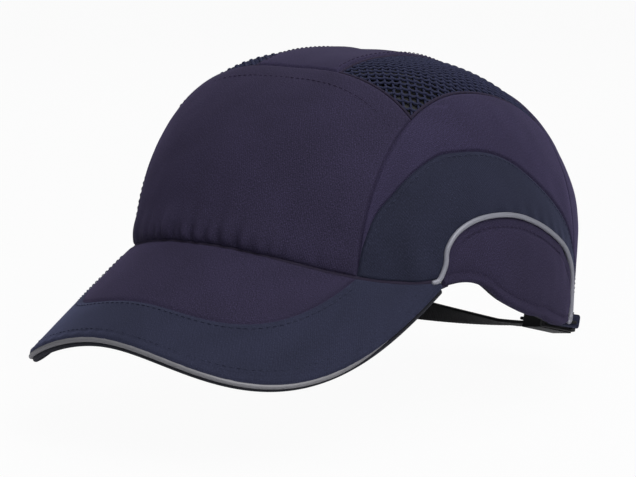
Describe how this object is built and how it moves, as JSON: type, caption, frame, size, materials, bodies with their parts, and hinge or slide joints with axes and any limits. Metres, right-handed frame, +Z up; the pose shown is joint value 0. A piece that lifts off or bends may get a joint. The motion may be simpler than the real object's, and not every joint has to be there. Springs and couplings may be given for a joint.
{
  "type": "bump cap",
  "caption": "Fabric-covered safety bump cap with vented crown, long curved peak, hard head shell and buckled rear strap.",
  "frame": {"origin": "middle of the flat underside of the crown pad, where the cap rests on the top of a head; the cap is in the attitude it is worn in", "axes": "+Z up, -Y to the front where the peak is, +X to the wearer's left"},
  "size_m": [0.174, 0.272, 0.1362],
  "materials": {
    "purple_twill": "heathered cotton twill, matt",
    "navy_twill": "plain navy cotton twill, matt",
    "navy_mesh": "open knitted polyester mesh",
    "grey_reflective": "silver-grey reflective piping",
    "black_webbing": "black woven webbing",
    "shell_plastic": "black injection-moulded shell, fine texture",
    "board_plastic": "stiff peak board",
    "foam": "cloth-faced foam",
    "sweat_cloth": "soft towelling sweatband",
    "buckle_metal": "satin steel"
  },
  "bodies": {
    "cap": {"front_panel": "purple_twill", "crown_centre_strip": "purple_twill", "side_arch_left": "purple_twill", "side_arch_right": "purple_twill", "rear_panel_left": "purple_twill", "rear_panel_right": "purple_twill", "ear_lobe_left": "purple_twill", "ear_lobe_right": "purple_twill", "peak_top_inner": "purple_twill", "mesh_panel_left": "navy_mesh", "mesh_panel_right": "navy_mesh", "side_panel_left": "navy_twill", "side_panel_right": "navy_twill", "rear_opening_binding": "navy_twill", "peak_top_band": "navy_twill", "peak_underside": "navy_twill", "peak_edge_binding": "navy_twill", "strap_anchor_left": "navy_twill", "strap_anchor_right": "navy_twill", "side_piping_left": "grey_reflective", "side_piping_right": "grey_reflective", "peak_edge_piping": "grey_reflective", "peak_board": "board_plastic", "protective_shell": "shell_plastic", "sweatband": "sweat_cloth", "front_pad": "foam", "rear_pad": "foam", "side_pad_left": "foam", "side_pad_right": "foam", "crown_pad": "foam", "strap_long": "black_webbing", "strap_short": "black_webbing", "buckle_frame": "buckle_metal", "buckle_pin": "buckle_metal"},
    "lever": {"buckle_lever": "buckle_metal"},
    "tail": {"strap_tail": "black_webbing"},
    "keeper": {"tail_keeper": "black_webbing"}
  },
  "joints": [
    {"name": "lever_hinge", "type": "hinge", "parent": "cap", "child": "lever", "pos_m": [0.01834, 0.11449, -0.10981], "axis": [-0.4343, -0.863, 0.2581], "range_deg": [0, 100]},
    {"name": "tail_slide", "type": "hinge", "parent": "cap", "child": "tail", "pos_m": [0, 0.065, -0.1004], "axis": [0.0415, -0.3054, -0.9513], "range_deg": [-5, 17]},
    {"name": "keeper_slide", "type": "hinge", "parent": "cap", "child": "keeper", "pos_m": [0, 0.065, -0.1004], "axis": [0.0415, -0.3054, -0.9513], "range_deg": [0, 8]}
  ]
}
